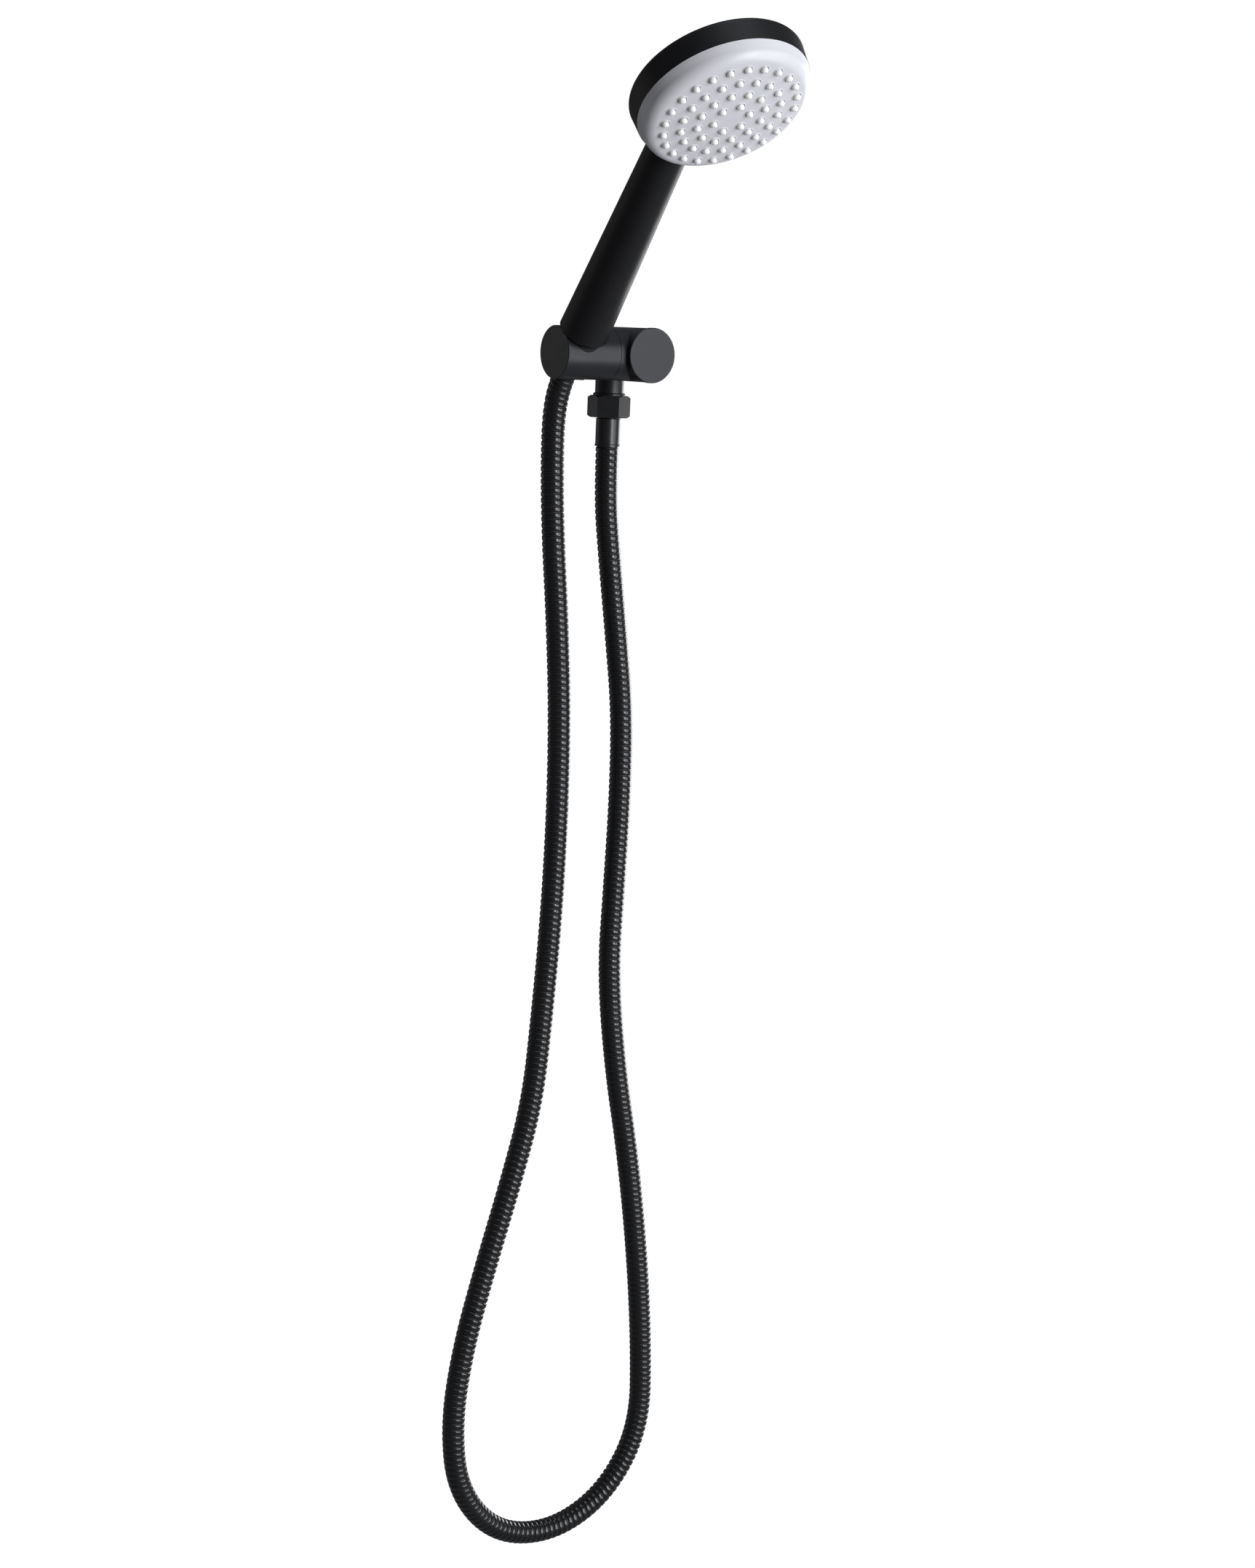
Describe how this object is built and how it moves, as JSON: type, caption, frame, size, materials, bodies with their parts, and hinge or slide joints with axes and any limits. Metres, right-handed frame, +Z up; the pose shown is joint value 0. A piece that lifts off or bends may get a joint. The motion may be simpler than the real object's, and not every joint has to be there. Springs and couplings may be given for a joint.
{
  "type": "handheld shower head",
  "caption": "Handheld shower set: wall outlet elbow with a tilting barrel holder, a tapered handset with a round spray head, and a hanging metal hose.",
  "frame": {"origin": "on the inlet nipple's axis, at the wall's surface", "axes": "+Y into the wall, +Z up, +X to the right of someone who faces the wall"},
  "size_m": [0.1665, 0.2533, 0.9974],
  "materials": {
    "black_metal": "satin black coating",
    "black_plastic": "matte black",
    "grey_plate": "satin light grey",
    "white_silicone": "soft white",
    "hose_metal": "satin black coating on wound strip",
    "hose_rubber": "matt",
    "black_rubber": "matt",
    "brass": "turned",
    "steel": "bright",
    "inner_plastic": "natural"
  },
  "bodies": {
    "wall_outlet": {"wall_body": "black_metal", "front_cap": "black_metal", "wall_gasket": "black_rubber", "inlet_nipple": "brass", "friction_washer": "inner_plastic", "pivot_o_ring": "black_rubber", "pivot_screw": "steel", "spring_washer": "steel", "outlet_stem": "black_metal", "valve_cage": "inner_plastic", "valve_spring": "steel", "outlet_nut": "black_metal", "outlet_washer": "black_rubber", "nut_end_tail": "brass", "outlet_ferrule": "black_metal", "shower_hose": "hose_metal", "hose_liner": "hose_rubber"},
    "valve_poppet": {"valve_poppet": "inner_plastic"},
    "holder": {"holder_barrel": "black_metal", "socket_bush": "black_plastic", "end_cap": "black_metal"},
    "hose_end": {"cone_tail": "brass", "cone_ferrule": "brass", "slide_ring": "inner_plastic"},
    "handset": {"cone_nut": "black_plastic", "cone_washer": "black_rubber", "inlet_insert": "brass", "flow_regulator": "inner_plastic", "filter_washer": "inner_plastic", "water_tube": "inner_plastic", "handset_body": "black_plastic", "water_chamber": "inner_plastic", "chamber_seal": "black_rubber", "distributor_plate": "inner_plastic", "plate_screws": "steel", "nozzle_mat": "white_silicone", "spray_face": "grey_plate"}
  },
  "joints": [
    {"name": "holder_tilt", "type": "hinge", "parent": "wall_outlet", "child": "holder", "pos_m": [-0.04, -0.05, 0], "axis": [1, 0, 0], "range_deg": [-35, 30], "deforming": ["shower_hose", "hose_liner"]},
    {"name": "handset_lift", "type": "slide", "parent": "holder", "child": "hose_end", "axis": [0, -0.606, 0.7955], "range_m": [0, 0.05], "deforming": ["shower_hose", "hose_liner"]},
    {"name": "handset_swivel", "type": "hinge", "parent": "hose_end", "child": "handset", "pos_m": [-0.046, -0.05, 0], "axis": [0, -0.606, 0.7955], "continuous": true},
    {"name": "valve_opening", "type": "slide", "parent": "wall_outlet", "child": "valve_poppet", "axis": [0, 0, -1], "range_m": [0, 0.003], "stiffness_N_per_m": 60, "springref_m": -0.003, "deforming": ["valve_spring"]}
  ]
}
